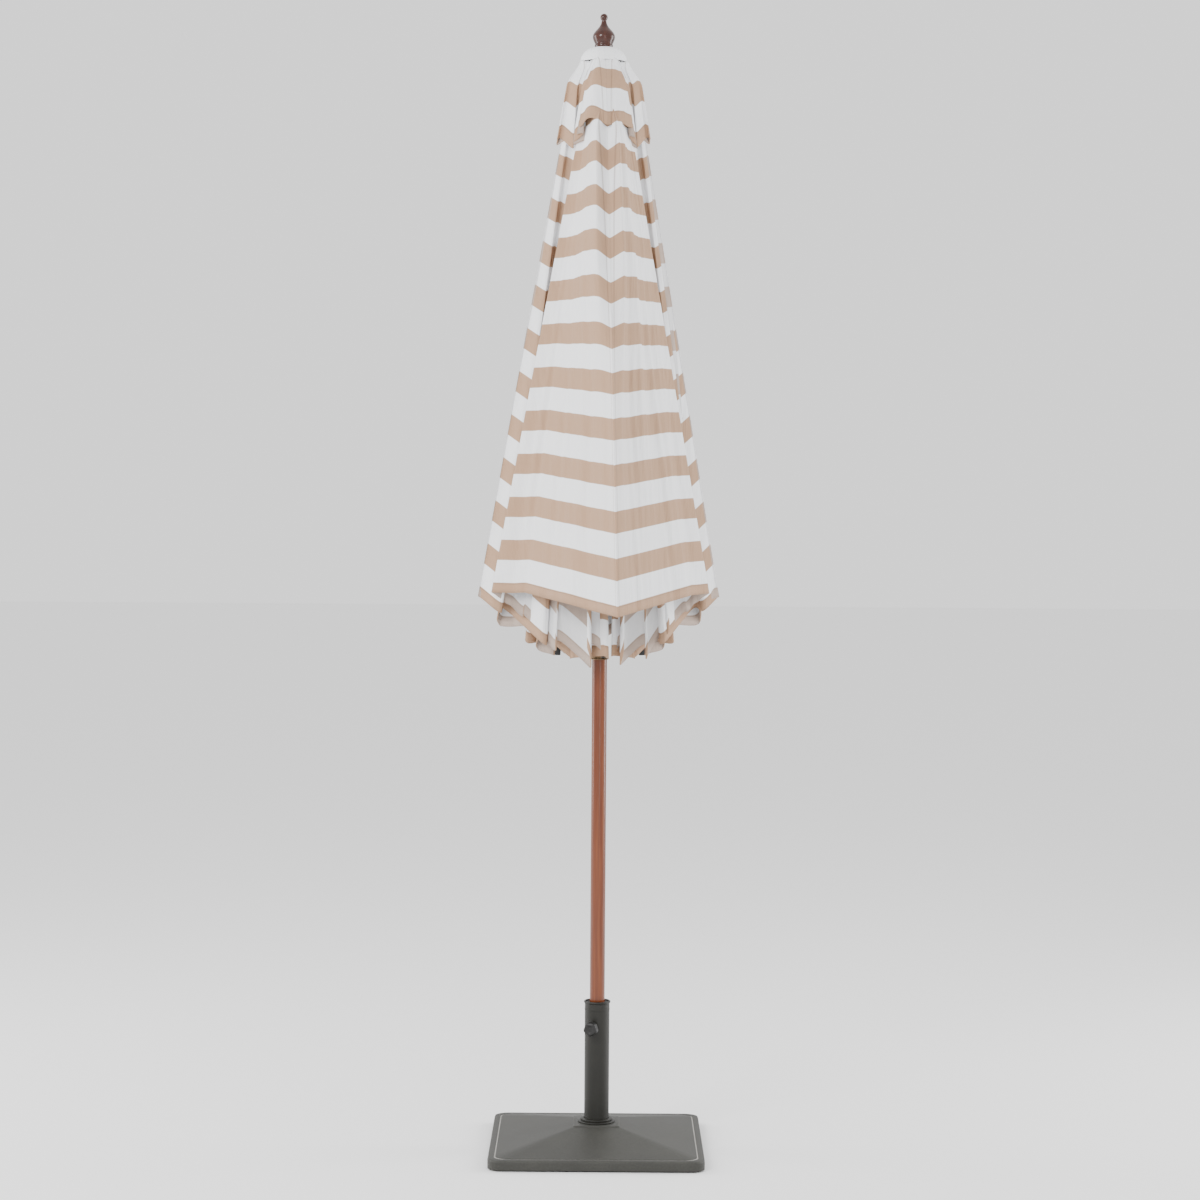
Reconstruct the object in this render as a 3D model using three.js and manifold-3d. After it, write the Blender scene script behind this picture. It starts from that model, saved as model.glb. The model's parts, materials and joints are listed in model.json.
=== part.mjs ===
// Market umbrella with its weighted base, closed and untied: +Z up, millimetres, origin at the
// middle of the base's underside, front of the umbrella towards -Y.
import * as THREE from 'three';
import { mergeVertices } from 'three/addons/utils/BufferGeometryUtils.js';
import Module from 'manifold-3d';

const wasm = await Module();
wasm.setup();

// ---- Driving dimensions ------------------------------------------------------------------
// Base
const BASE_SIDE = 450;            // square footprint
const BASE_CORNER_R = 26;
const RIM_HEIGHT = 24;            // upright edge of the shell
const PLATEAU_SIDE = 95;          // small flat square on top
const PLATEAU_HEIGHT = 56;
const SHELL_WALL = 3;
const COVER_THICK = 3;            // pad under the base, which it stands on
const COVER_INSET = 6;
// Tube on the base
const TUBE_R = 26.5;
const TUBE_WALL = 2;
const TUBE_BOTTOM = 18;
const TUBE_TOP = 316;
const RIM_BEAD_R = 2.2;           // rolled edge of the tube's mouth
const FLANGE_SIDE = 130;
const FLANGE_THICK = 4;
const TRIM_R = 40;
const TRIM_HEIGHT = 9;
const BUSH_HEIGHT = 84;
// Clamp
const CLAMP_HEIGHT = 262;
const CLAMP_TURN = -17;           // degrees round from the front, to the left
const CLAMP_SCREW_R = 4;
const CLAMP_BOSS_R = 8;
const CLAMP_BOSS_LENGTH = 9;
const KNOB_R = 15;
const KNOB_LENGTH = 16;
const KNOB_LOBES = 5;
// Poles
const POLE_R = 16;
const POLE_BOTTOM = 30;
const POLE_SPLIT = 1080;          // where the lower pole meets the upper one
const POLE_TOP = 2306;
const FERRULE_BELOW = 35;
const FERRULE_ABOVE = 40;
const FERRULE_WALL = 1.7;
const STUD_R = 4;                 // stud that the finial screws onto
const STUD_LENGTH = 52;
// Hub, runner and their pivot circle
const HUB_HEIGHT = 2295;          // height of the rib pivots
const PIVOT_R = 30;               // radius of the pivot circle, on hub and runner alike
const HUB_R = 37;
const HUB_HALF_HEIGHT = 17;
const HUB_CORE_R = 22;            // solid middle, inside the slots
const RUNNER_R = 38;
const RUNNER_UP = 26;             // runner's reach above its pivots
const RUNNER_DOWN = 44;
const WIRE_R = 1.5;
// Ribs and struts
const RIB_COUNT = 8;
const RIB_LENGTH = 1235;          // pivot to tip
const RIB_WIDTH = 10;
const RIB_INNER = 6;              // the bar's inner face, out from the line of pivots
const RIB_DEPTH = 16;
const RIB_EYE_R = 7;
const STRUT_LENGTH = 500;         // pivot to pivot, and the hinge's distance down the rib
const STRUT_WIDTH = 5;
const STRUT_HALF_DEPTH = 5;
const HINGE_PIN_R = 2;
const HINGE_CHEEK = 1.4;
const CLOSED_ANGLE = 2;           // rib from the vertical, degrees
const FRONT_SEAM_ANGLE = 17;      // the front seam hangs forward of its rib
const PIVOT_TURN = 5;             // front rib, degrees round from straight ahead
// Canopy
const CLOTH_GAP = 2;              // cloth line, out from the rib's outer face
const CLOTH_OVERRUN = 8;          // cloth past the rib's tip
const FRONT_SLACK = 40;           // the front corner stops this much short
const SLAB_THICK = 1.6;
const SEAM_INSET = 6;
const SEAM_TOP_INSET = 2;
const FOLD_INSET = 10;
const SLAB_TOP_SHARE = 0.2;       // the slabs start this far down from the crown
const FOLD_TOP_R = 60;
const OPEN_SLOPE = 15;            // open canopy below the horizontal, degrees
const SEAM_TAPE_WIDTH = 6;
const SEAM_TAPE_THICK = 1.4;
const CAP_TOP = 2335;
const CAP_HEM_HEIGHT = 2157;
const CAP_HEM_R = 104;
const CAP_CROWN_R = 40;
const CAP_THICK = 1.8;
const FINIAL_HEIGHT = 71;
const GAP = 0.35;                 // between pieces that touch
const FIT = 0.5;                  // round a piece that slides or turns

// Where the fold in the middle of each gore hangs: degrees round from the front rib, radius, height.
const FOLDS = [
  { turn: 86, r: 232.5, z: 1187 },
  { turn: 97, r: 260, z: 1178 },
  { turn: 125, r: 240, z: 1172 },
  { turn: 160, r: 230, z: 1170 },
];

// ---- Finishes ----------------------------------------------------------------------------
const finish = (color, roughness, metalness = 0) =>
  new THREE.MeshStandardMaterial({ color, roughness, metalness });

const CASE_GREY = finish(0x6a6967, 0.6);
const STEEL_GREY = finish(0x45443f, 0.45, 0.3);
const CONCRETE = finish(0x8d8b86, 0.95);
const BLACK_PLASTIC = finish(0x33322f, 0.5);
const RUBBER = finish(0x1f1f1f, 0.9);
const STAINED_WOOD = finish(0x9a5238, 0.3);
const DARK_WOOD = finish(0x5e3022, 0.3);
const BRONZE = finish(0x5d4632, 0.35, 0.9);
const BRIGHT_WIRE = finish(0xb9b9b5, 0.3, 1);
const BEIGE_CLOTH = finish(0xb89c82, 0.9);
const WHITE_CLOTH = finish(0xe6e6e8, 0.9);

// ---- Small tools -------------------------------------------------------------------------
const rad = THREE.MathUtils.degToRad;
const umbrella = new THREE.Group();

/** Adds a named mesh to a group. */
function add(name, geometry, material, parent = umbrella) {
  const mesh = new THREE.Mesh(geometry, material);
  mesh.name = name;
  parent.add(mesh);
  return mesh;
}

/** A closed geometry as a manifold solid. */
function solid(geometry) {
  const bare = geometry.clone();
  bare.deleteAttribute('normal');
  bare.deleteAttribute('uv');
  const merged = mergeVertices(bare, 1e-4);
  return new wasm.Manifold(new wasm.Mesh({
    numProp: 3,
    vertProperties: new Float32Array(merged.attributes.position.array),
    triVerts: new Uint32Array(merged.index.array),
  }));
}

/** A manifold solid as a three.js geometry. */
function geometryOf(body) {
  const mesh = body.getMesh();
  const geometry = new THREE.BufferGeometry();
  geometry.setAttribute('position', new THREE.BufferAttribute(mesh.vertProperties, 3));
  geometry.setIndex(new THREE.BufferAttribute(mesh.triVerts, 1));
  geometry.computeVertexNormals();
  return geometry;
}

/** body less each of the cutters. */
function cut(body, cutters) {
  return cutters.reduce((left, cutter) => left.subtract(solid(cutter)), solid(body));
}

/** A turned piece about Z, from [radius, height] points. */
function turned(points, sides = 32) {
  const profile = points.map(([r, z]) => new THREE.Vector2(r, z));
  return new THREE.LatheGeometry(profile, sides).rotateX(Math.PI / 2);
}

/** A plain upright sleeve between two radii and two heights. */
function sleeve(inner, outer, low, high, sides = 32) {
  return turned([[inner, low], [outer, low], [outer, high], [inner, high], [inner, low]], sides);
}

/** A plain upright rod. */
function rod(r, low, high, sides = 24) {
  return turned([[0, low], [r, low], [r, high], [0, high]], sides);
}

/** A flat outline in the upright plane y = 0 (x outward, z up), widened evenly along y. */
function upright(shape, width, curveSegments = 8) {
  const geometry = new THREE.ExtrudeGeometry(shape, { depth: width, bevelEnabled: false, curveSegments });
  return geometry.rotateX(Math.PI / 2).translate(0, width / 2, 0);
}

/** A group turned round the pole: degrees from the front rib's side of the umbrella. */
function spoke(turn, offset = PIVOT_TURN) {
  const group = new THREE.Group();
  group.rotation.z = rad(turn + offset - 90);
  umbrella.add(group);
  return group;
}

/** A square with rounded corners. */
function roundedSquare(side, r) {
  const h = side / 2;
  const shape = new THREE.Shape();
  shape.moveTo(h - r, -h);
  shape.absarc(h - r, -h + r, r, -Math.PI / 2, 0);
  shape.absarc(h - r, h - r, r, 0, Math.PI / 2);
  shape.absarc(-h + r, h - r, r, Math.PI / 2, Math.PI);
  shape.absarc(-h + r, -h + r, r, Math.PI, 1.5 * Math.PI);
  shape.closePath();
  return shape;
}

// ---- Base --------------------------------------------------------------------------------
/** The low pyramid of the base: an upright rim, then four slopes up to the plateau. */
function pyramid(side, corner, low, rim, top, plateau) {
  const arc = 6;
  const block = new THREE.ExtrudeGeometry(roundedSquare(side, corner),
    { depth: rim - low, bevelEnabled: false, curveSegments: arc }).translate(0, 0, low);
  const slopes = new THREE.ExtrudeGeometry(roundedSquare(side, corner),
    { depth: top - rim, bevelEnabled: false, curveSegments: arc }).translate(0, 0, rim);
  const place = slopes.attributes.position;
  for (let i = 0; i < place.count; i += 1) {
    if (place.getZ(i) > rim + 0.001) {
      place.setX(i, place.getX(i) * plateau / side);
      place.setY(i, place.getY(i) * plateau / side);
    }
  }
  return solid(block).add(solid(slopes));
}

function buildBase() {
  const well = TUBE_R + FIT;
  const outer = pyramid(BASE_SIDE, BASE_CORNER_R, COVER_THICK, RIM_HEIGHT, PLATEAU_HEIGHT, PLATEAU_SIDE);
  const inside = (less, low) => pyramid(BASE_SIDE - 2 * less, BASE_CORNER_R - less, low,
    RIM_HEIGHT - less, PLATEAU_HEIGHT - less, PLATEAU_SIDE - 2 * less);
  const shell = outer.subtract(inside(SHELL_WALL, COVER_THICK - 1))
    .subtract(solid(rod(well, PLATEAU_HEIGHT - 2 * SHELL_WALL, PLATEAU_HEIGHT + 1)));
  add('base_shell', geometryOf(shell), CASE_GREY);

  const flangeRoom = new THREE.BoxGeometry(FLANGE_SIDE + 2 * GAP, FLANGE_SIDE + 2 * GAP,
    FLANGE_THICK + 2 * GAP).translate(0, 0, TUBE_BOTTOM - FLANGE_THICK / 2 - GAP);
  const core = inside(SHELL_WALL + GAP, COVER_THICK)
    .subtract(solid(rod(TUBE_R + GAP, TUBE_BOTTOM - 1, PLATEAU_HEIGHT + 1)))
    .subtract(solid(flangeRoom));
  add('ballast_core', geometryOf(core), CONCRETE);
  const cover = new THREE.ExtrudeGeometry(roundedSquare(BASE_SIDE - 2 * COVER_INSET, BASE_CORNER_R),
    { depth: COVER_THICK - GAP, bevelEnabled: false, curveSegments: 6 });
  add('bottom_cover', cover, RUBBER);

  add('tube_flange', new THREE.BoxGeometry(FLANGE_SIDE, FLANGE_SIDE, FLANGE_THICK)
    .translate(0, 0, TUBE_BOTTOM - FLANGE_THICK / 2 - GAP), STEEL_GREY);
  add('trim_ring', turned([
    [TUBE_R + FIT, PLATEAU_HEIGHT + GAP], [TRIM_R, PLATEAU_HEIGHT + GAP],
    [TRIM_R, PLATEAU_HEIGHT + 2.5], [TRIM_R - 3, PLATEAU_HEIGHT + 5.5],
    [TUBE_R + 4, PLATEAU_HEIGHT + TRIM_HEIGHT], [TUBE_R + FIT, PLATEAU_HEIGHT + TRIM_HEIGHT],
    [TUBE_R + FIT, PLATEAU_HEIGHT + GAP],
  ], 40), CASE_GREY);
}

// ---- Tube, bushes and clamp --------------------------------------------------------------
/** Turns an upright piece at the origin so that +Z points outward along a spoke, at the clamp. */
function towardsClamp(geometry) {
  return geometry.rotateY(Math.PI / 2).rotateZ(rad(CLAMP_TURN - 90)).translate(0, 0, CLAMP_HEIGHT);
}

function buildTube() {
  const screwWay = () => towardsClamp(rod(CLAMP_SCREW_R + GAP, 0, TUBE_R + 20));
  const inner = TUBE_R - TUBE_WALL;
  const bead = [];
  for (let i = 0; i <= 6; i += 1) {
    const a = -Math.PI / 2 + Math.PI * i / 6;
    bead.push([TUBE_R + RIM_BEAD_R * Math.cos(a) * 0.8, TUBE_TOP - RIM_BEAD_R + RIM_BEAD_R * Math.sin(a)]);
  }
  const tube = turned([[inner, TUBE_BOTTOM], [TUBE_R, TUBE_BOTTOM], ...bead,
    [inner, TUBE_TOP], [inner, TUBE_BOTTOM]], 40);
  const boss = cut(towardsClamp(rod(CLAMP_BOSS_R, TUBE_R - 4, TUBE_R + CLAMP_BOSS_LENGTH, 20)),
    [rod(TUBE_R - 0.5, CLAMP_HEIGHT - 20, CLAMP_HEIGHT + 20, 40)]);
  add('base_tube', geometryOf(solid(tube).add(boss).subtract(solid(screwWay()))), STEEL_GREY);

  const bushTop = TUBE_TOP - 3;
  const upper = sleeve(POLE_R + FIT, inner - GAP, bushTop - BUSH_HEIGHT, bushTop, 36);
  add('upper_bush', geometryOf(cut(upper, [screwWay()])), BLACK_PLASTIC);
  add('lower_bush', sleeve(POLE_R + FIT, inner - GAP, POLE_BOTTOM, POLE_BOTTOM + BUSH_HEIGHT / 2, 36),
    BLACK_PLASTIC);
  add('pole_seat', rod(inner - GAP, TUBE_BOTTOM + GAP, POLE_BOTTOM - GAP), BLACK_PLASTIC);

  const knobStart = TUBE_R + CLAMP_BOSS_LENGTH + 2;
  const screwEnd = knobStart + KNOB_LENGTH * 0.6;
  add('clamp_screw', towardsClamp(rod(CLAMP_SCREW_R, POLE_R + GAP, screwEnd, 16)), STEEL_GREY);

  const star = new THREE.Shape();
  const steps = 60;
  for (let i = 0; i < steps; i += 1) {
    const a = 2 * Math.PI * i / steps;
    const r = KNOB_R * (0.86 + 0.14 * Math.cos(KNOB_LOBES * a));
    if (i === 0) star.moveTo(r, 0);
    else star.lineTo(r * Math.cos(a), r * Math.sin(a));
  }
  star.closePath();
  const bore = rod(CLAMP_SCREW_R + GAP, -1, screwEnd - knobStart + GAP, 16);
  const bevel = 2;
  const knob = new THREE.ExtrudeGeometry(star, {
    depth: KNOB_LENGTH - 2 * bevel, bevelThickness: bevel, bevelSize: bevel,
    bevelOffset: -bevel, bevelSegments: 2,
  }).translate(0, 0, bevel);
  const hollowed = geometryOf(cut(knob, [bore])).translate(0, 0, knobStart);
  add('clamp_knob', towardsClamp(hollowed), BLACK_PLASTIC);
}

// ---- Poles, hub, runner and finial -------------------------------------------------------
/** A ring of wire on the pivot circle. */
function wireRing(height, r) {
  return new THREE.TorusGeometry(PIVOT_R, r, 8, 48).translate(0, 0, height);
}

/** Slots for ribs or struts: one box per spoke, from the core outward. */
function slots(width, low, high) {
  const reach = 40;
  return Array.from({ length: RIB_COUNT }, (_, k) =>
    new THREE.BoxGeometry(reach, width + 2 * FIT, high - low)
      .translate(HUB_CORE_R + reach / 2, 0, (low + high) / 2)
      .rotateZ(rad(k * 360 / RIB_COUNT + PIVOT_TURN - 90)));
}

function buildPoles() {
  const chamfer = 2;
  add('lower_pole', turned([[0, POLE_BOTTOM], [POLE_R - chamfer, POLE_BOTTOM],
    [POLE_R, POLE_BOTTOM + chamfer], [POLE_R, POLE_SPLIT], [0, POLE_SPLIT]]), STAINED_WOOD);
  const ferruleR = POLE_R + GAP + FERRULE_WALL;
  const low = POLE_SPLIT - FERRULE_BELOW;
  const high = POLE_SPLIT + FERRULE_ABOVE;
  const lip = 3;
  const swell = 0.8;
  add('pole_ferrule', turned([
    [POLE_R + GAP, low], [ferruleR, low], [ferruleR + swell, low + 1], [ferruleR + swell, low + lip],
    [ferruleR, low + lip + 1], [ferruleR, high - lip - 1], [ferruleR + swell, high - lip],
    [ferruleR + swell, high - 1], [ferruleR, high], [POLE_R + GAP, high], [POLE_R + GAP, low],
  ]), BRONZE);
  add('upper_pole', turned([[0, POLE_SPLIT + GAP], [POLE_R, POLE_SPLIT + GAP], [POLE_R, POLE_TOP],
    [STUD_R, POLE_TOP], [STUD_R, POLE_TOP + STUD_LENGTH], [0, POLE_TOP + STUD_LENGTH]]), STAINED_WOOD);

  const hubLow = HUB_HEIGHT - HUB_HALF_HEIGHT;
  const hubHigh = HUB_HEIGHT + HUB_HALF_HEIGHT;
  const hub = turned([[POLE_R + GAP, hubLow], [HUB_R - 3, hubLow], [HUB_R, hubLow + 3],
    [HUB_R, hubHigh - 3], [HUB_R - 3, hubHigh], [POLE_R + GAP, hubHigh], [POLE_R + GAP, hubLow]], 48);
  add('crown_hub', geometryOf(cut(hub,
    [...slots(RIB_WIDTH, hubLow - 1, hubHigh + 1), wireRing(HUB_HEIGHT, WIRE_R + GAP)])), DARK_WOOD);
  add('hub_wire', wireRing(HUB_HEIGHT, WIRE_R), BRIGHT_WIRE);

  const runnerHeight = HUB_HEIGHT - 2 * STRUT_LENGTH * Math.cos(rad(CLOSED_ANGLE));
  const runLow = runnerHeight - RUNNER_DOWN;
  const runHigh = runnerHeight + RUNNER_UP;
  const waist = PIVOT_R - STRUT_HALF_DEPTH - FIT;
  const runner = turned([[POLE_R + FIT, runLow], [waist - 4, runLow], [waist, runLow + 4],
    [waist, runLow + 17], [RUNNER_R, runLow + 26], [RUNNER_R, runHigh - 3],
    [RUNNER_R - 3, runHigh], [POLE_R + FIT, runHigh], [POLE_R + FIT, runLow]], 48);
  add('runner', geometryOf(cut(runner, slots(STRUT_WIDTH, runLow + 16, runHigh + 1))), DARK_WOOD);
}

/** The turned finial: a foot, an onion bulb, a long neck and a ball. */
function buildFinial() {
  const base = CAP_TOP + CAP_THICK + GAP;
  const bore = STUD_R + FIT;
  const boreTop = POLE_TOP + STUD_LENGTH + GAP;
  const ballR = 8.2;
  const outline = [[19, 0], [19.3, 3], [19, 6], [19.6, 10], [21.6, 14], [23, 18], [23.4, 22],
    [22.8, 26], [20.6, 30], [17.2, 34], [13.6, 38], [10.6, 42], [8.2, 46], [6.6, 50], [5.7, 53]];
  const profile = [[bore, base], ...outline.map(([r, z]) => [r, base + z])];
  const ballSteps = 9;
  const ballStart = -Math.PI / 4;
  for (let i = 0; i < ballSteps; i += 1) {
    const a = ballStart + (Math.PI / 2 - ballStart) * i / ballSteps;
    profile.push([ballR * Math.cos(a), base + FINIAL_HEIGHT - ballR + ballR * Math.sin(a)]);
  }
  profile.push([0, base + FINIAL_HEIGHT], [0, boreTop], [bore, boreTop], [bore, base]);
  add('finial', turned(profile, 32), DARK_WOOD);
}

// ---- Ribs, struts and their hinges -------------------------------------------------------
/** An eye with a hole, at a point of an outline's path. */
function eyeHole(shape, x, y, r) {
  const hole = new THREE.Path();
  hole.absarc(x, y, r, 0, 2 * Math.PI, true);
  shape.holes.push(hole);
}

/** A rib's outline: x down the rib from its pivot, y out from the line of pivots. */
function ribOutline() {
  const outer = RIB_INNER + RIB_DEPTH;
  const neck = 30;
  const tipDepth = 6;
  const shape = new THREE.Shape();
  shape.moveTo(0, -RIB_EYE_R);
  shape.lineTo(8, -RIB_EYE_R + 2);
  shape.lineTo(neck, RIB_INNER);
  shape.lineTo(RIB_LENGTH - 120, RIB_INNER);
  shape.lineTo(RIB_LENGTH, outer - tipDepth - 2);
  shape.quadraticCurveTo(RIB_LENGTH + 3, outer - tipDepth / 2, RIB_LENGTH, outer);
  shape.lineTo(neck + 8, outer);
  shape.lineTo(12, RIB_EYE_R);
  shape.lineTo(0, RIB_EYE_R);
  shape.absarc(0, 0, RIB_EYE_R, Math.PI / 2, 1.5 * Math.PI);
  eyeHole(shape, 0, 0, WIRE_R + FIT);
  return shape;
}

/** A strut's outline: x from the rib's hinge to the runner's pivot. */
function strutOutline() {
  const h = STRUT_HALF_DEPTH;
  const shape = new THREE.Shape();
  shape.moveTo(0, -h);
  shape.lineTo(STRUT_LENGTH, -h);
  shape.absarc(STRUT_LENGTH, 0, h, -Math.PI / 2, Math.PI / 2);
  shape.lineTo(0, h);
  shape.absarc(0, 0, h, Math.PI / 2, 1.5 * Math.PI);
  eyeHole(shape, 0, 0, HINGE_PIN_R + 0.3);
  eyeHole(shape, STRUT_LENGTH, 0, WIRE_R + FIT);
  return shape;
}

/** The hinge on a rib: two cheeks under the bar, joined by a riveted pin. */
function strutHinge() {
  const half = 9;
  const inside = STRUT_WIDTH / 2 + FIT;
  const cheek = new THREE.Shape();
  cheek.moveTo(-half, RIB_INNER - GAP);
  cheek.lineTo(-half, 0);
  cheek.absarc(0, 0, 6, Math.PI, 2 * Math.PI);
  cheek.lineTo(half, 0);
  cheek.lineTo(half, RIB_INNER - GAP);
  cheek.closePath();
  const plateY = inside + HINGE_CHEEK / 2;
  const plate = (side) => solid(upright(cheek, HINGE_CHEEK).translate(0, side * plateY, 0));
  const headR = 3.2;
  const reach = inside + HINGE_CHEEK;
  const pin = turned([[0, -reach - 1], [headR, -reach - 1], [headR, -reach + 0.1],
    [HINGE_PIN_R, -reach + 0.1], [HINGE_PIN_R, reach - 0.1], [headR, reach - 0.1],
    [headR, reach + 1], [0, reach + 1]], 16)
    .rotateX(Math.PI / 2);
  return geometryOf(plate(1).add(plate(-1)).add(solid(pin)));
}

/** Places a mesh whose x runs down a rib or strut at an angle from the vertical. */
function hang(mesh, r, z, angle) {
  mesh.position.set(r, 0, z);
  mesh.rotation.y = Math.PI / 2 - rad(angle);
}

function buildRibs() {
  const jointR = PIVOT_R + STRUT_LENGTH * Math.sin(rad(CLOSED_ANGLE));
  const jointZ = HUB_HEIGHT - STRUT_LENGTH * Math.cos(rad(CLOSED_ANGLE));
  for (let k = 0; k < RIB_COUNT; k += 1) {
    const group = spoke(k * 360 / RIB_COUNT);
    hang(add(`rib_${k}`, upright(ribOutline(), RIB_WIDTH), DARK_WOOD, group), PIVOT_R, HUB_HEIGHT,
      CLOSED_ANGLE);
    hang(add(`strut_hinge_${k}`, strutHinge(), BRONZE, group), jointR, jointZ, CLOSED_ANGLE);
    hang(add(`strut_${k}`, upright(strutOutline(), STRUT_WIDTH), DARK_WOOD, group), jointR, jointZ,
      -CLOSED_ANGLE);
  }
}

// ---- Canopy ------------------------------------------------------------------------------
/** A point at a turn from the front rib, a radius and a height. */
function place(turn, r, z) {
  const a = rad(turn + PIVOT_TURN - 90);
  return new THREE.Vector3(r * Math.cos(a), r * Math.sin(a), z);
}

/** A point on the cloth line over a rib: a distance from its pivot, at an angle from the vertical. */
function onSeam(turn, along, angle) {
  const out = RIB_INNER + RIB_DEPTH + CLOTH_GAP;
  const r = PIVOT_R + along * Math.sin(rad(angle)) + out * Math.cos(rad(angle));
  const z = HUB_HEIGHT - along * Math.cos(rad(angle)) + out * Math.sin(rad(angle));
  return place(turn, r, z);
}

/** Where the cloth line of the open canopy meets the pole's axis, along the rib from its pivot. */
function apexAlong() {
  const out = RIB_INNER + RIB_DEPTH + CLOTH_GAP;
  const open = rad(90 - OPEN_SLOPE);
  return -(PIVOT_R + out * Math.cos(open)) / Math.sin(open);
}

/** A line of points with both ends drawn in by fixed lengths. */
function drawnIn(line, startInset, endInset) {
  const moved = line.map((p) => p.clone());
  const last = line.length - 1;
  moved[0].addScaledVector(line[1].clone().sub(line[0]).normalize(), startInset);
  moved[last].addScaledVector(line[last - 1].clone().sub(line[last]).normalize(), endInset);
  return moved;
}

/** A thin closed slab standing between a lower and an upper line of as many points. */
function slab(lower, upper, thickness) {
  const last = lower.length - 1;
  const sides = lower.map((_, i) => {
    const across = new THREE.Vector3();
    for (const line of [lower, upper]) {
      const step = line[Math.min(last, i + 1)].clone().sub(line[Math.max(0, i - 1)]);
      across.add(new THREE.Vector3(-step.y, step.x, 0).normalize());
    }
    return across.setLength(thickness / 2);
  });
  const points = [];
  const rows = [lower, upper].map((line) => line.map((p, i) => {
    points.push(p.clone().sub(sides[i]), p.clone().add(sides[i]));
    return [points.length - 2, points.length - 1];
  }));
  const [low, high] = rows;
  const faces = [];
  const quad = (a, b, c, d) => faces.push(a, b, c, a, c, d);
  for (let i = 0; i < last; i += 1) {
    quad(low[i][0], low[i + 1][0], high[i + 1][0], high[i][0]);
    quad(low[i][1], high[i][1], high[i + 1][1], low[i + 1][1]);
    quad(low[i][1], low[i + 1][1], low[i + 1][0], low[i][0]);
    quad(high[i][0], high[i + 1][0], high[i + 1][1], high[i][1]);
  }
  quad(low[0][1], low[0][0], high[0][0], high[0][1]);
  quad(low[last][0], low[last][1], high[last][1], high[last][0]);
  const geometry = new THREE.BufferGeometry().setFromPoints(points);
  geometry.setIndex(faces);
  return geometry;
}

/** The fold of gore k, which lies between rib k and the next one round. */
function foldOf(k) {
  const mirrored = k >= RIB_COUNT / 2;
  const fold = FOLDS[mirrored ? RIB_COUNT - 1 - k : k];
  return place(mirrored ? -fold.turn : fold.turn, fold.r, fold.z);
}

/** The upper end of gore k's fold, beside the crown. */
function foldTop(k) {
  return place((k + 0.5) * 360 / RIB_COUNT, FOLD_TOP_R, CAP_TOP);
}

/** One half gore, from the seam on its rib to the fold in the middle of the gore. */
function buildHalfGore(k, rib, suffix) {
  const turn = rib * 360 / RIB_COUNT;
  const front = rib % RIB_COUNT === 0;
  const angle = front ? FRONT_SEAM_ANGLE : CLOSED_ANGLE;
  const apex = onSeam(turn, apexAlong(), angle);
  const tip = onSeam(turn, RIB_LENGTH + CLOTH_OVERRUN - (front ? FRONT_SLACK : 0), angle);
  const fold = foldOf(k);
  const hem = [tip, fold];
  const besideFront = !front && (k === 0 || k === RIB_COUNT - 1);
  if (besideFront) {
    const side = k === 0 ? 1 : -1;
    hem.splice(1, 0, place(side * 52, 118, (tip.z + 2 * fold.z) / 3));
  }
  const upper = hem.map((p, i) => (i === 0 ? apex : foldTop(k)).clone().lerp(p, SLAB_TOP_SHARE));
  const white = k % 2 === 1;
  add(`gore_${k}_${suffix}`, slab(drawnIn(hem, SEAM_INSET, FOLD_INSET),
    drawnIn(upper, SEAM_TOP_INSET, FOLD_INSET), SLAB_THICK), white ? WHITE_CLOTH : BEIGE_CLOTH);
}

function buildCanopy() {
  for (let k = 0; k < RIB_COUNT; k += 1) {
    buildHalfGore(k, k, 'a');
    buildHalfGore(k, k + 1, 'b');
  }
  const out = RIB_INNER + RIB_DEPTH + CLOTH_GAP;
  const tapeStart = RIB_LENGTH * SLAB_TOP_SHARE * 3;
  const tapeEnd = RIB_LENGTH + CLOTH_OVERRUN - FRONT_SLACK;
  const tape = new THREE.BoxGeometry(tapeEnd - tapeStart, SEAM_TAPE_WIDTH, SEAM_TAPE_THICK)
    .translate((tapeEnd + tapeStart) / 2, 0, out);
  hang(add('front_seam_tape', tape, BEIGE_CLOTH, spoke(0)), PIVOT_R, HUB_HEIGHT, FRONT_SEAM_ANGLE);

  const lift = CAP_THICK;
  add('vent_cap', turned([[STUD_R + FIT, CAP_TOP], [CAP_CROWN_R, CAP_TOP - 1], [CAP_HEM_R, CAP_HEM_HEIGHT],
    [CAP_HEM_R + CAP_THICK, CAP_HEM_HEIGHT], [CAP_CROWN_R + CAP_THICK, CAP_TOP - 1 + lift],
    [STUD_R + FIT, CAP_TOP + lift], [STUD_R + FIT, CAP_TOP]], 24), WHITE_CLOTH);
}

buildBase();
buildTube();
buildPoles();
buildFinial();
buildRibs();
buildCanopy();

export default umbrella;
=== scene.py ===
"""Market umbrella on its weighted base, closed and untied: the finished pieces over the CAD frame."""

import json
import logging
import math
from dataclasses import dataclass, field
from enum import Enum
from typing import Any, Optional, Sequence

import bmesh
import bpy
import numpy as np
from mathutils import Matrix, Vector, noise


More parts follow.
